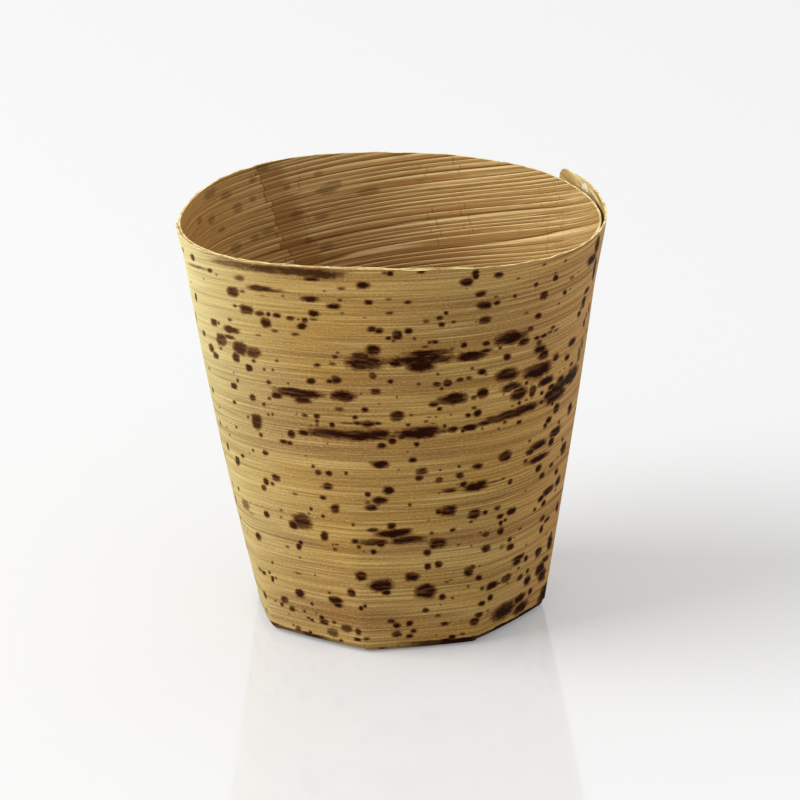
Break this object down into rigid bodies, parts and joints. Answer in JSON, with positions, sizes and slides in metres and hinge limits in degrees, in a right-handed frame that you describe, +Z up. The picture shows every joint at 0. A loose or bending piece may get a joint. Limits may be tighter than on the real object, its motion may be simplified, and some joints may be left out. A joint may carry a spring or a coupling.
{
  "type": "cup",
  "caption": "Small tapered drinking cup rolled from spotted bamboo sheath in two glued plies, its foot slit into tabs and folded under into a flat base.",
  "frame": {"origin": "on the plane the cup stands on, under the middle of its box", "axes": "+Z up the cup; the side that faces the viewer is -Y; the outer ply's free corner is towards +X and +Y"},
  "size_m": [0.0718, 0.074, 0.071],
  "materials": {
    "sheath_outer": "satin, spotted",
    "sheath_inner": "satin, ribbed",
    "sheath_floor": "satin",
    "glue": "dry, translucent"
  },
  "bodies": {
    "root": {"outer_wrap": "sheath_outer", "inner_liner": "sheath_inner", "floor_disc": "sheath_floor", "ply_glue": "glue", "wrap_seam_glue": "glue", "liner_seam_glue": "glue", "tab_glue": "glue", "floor_glue": "glue"}
  },
  "joints": []
}
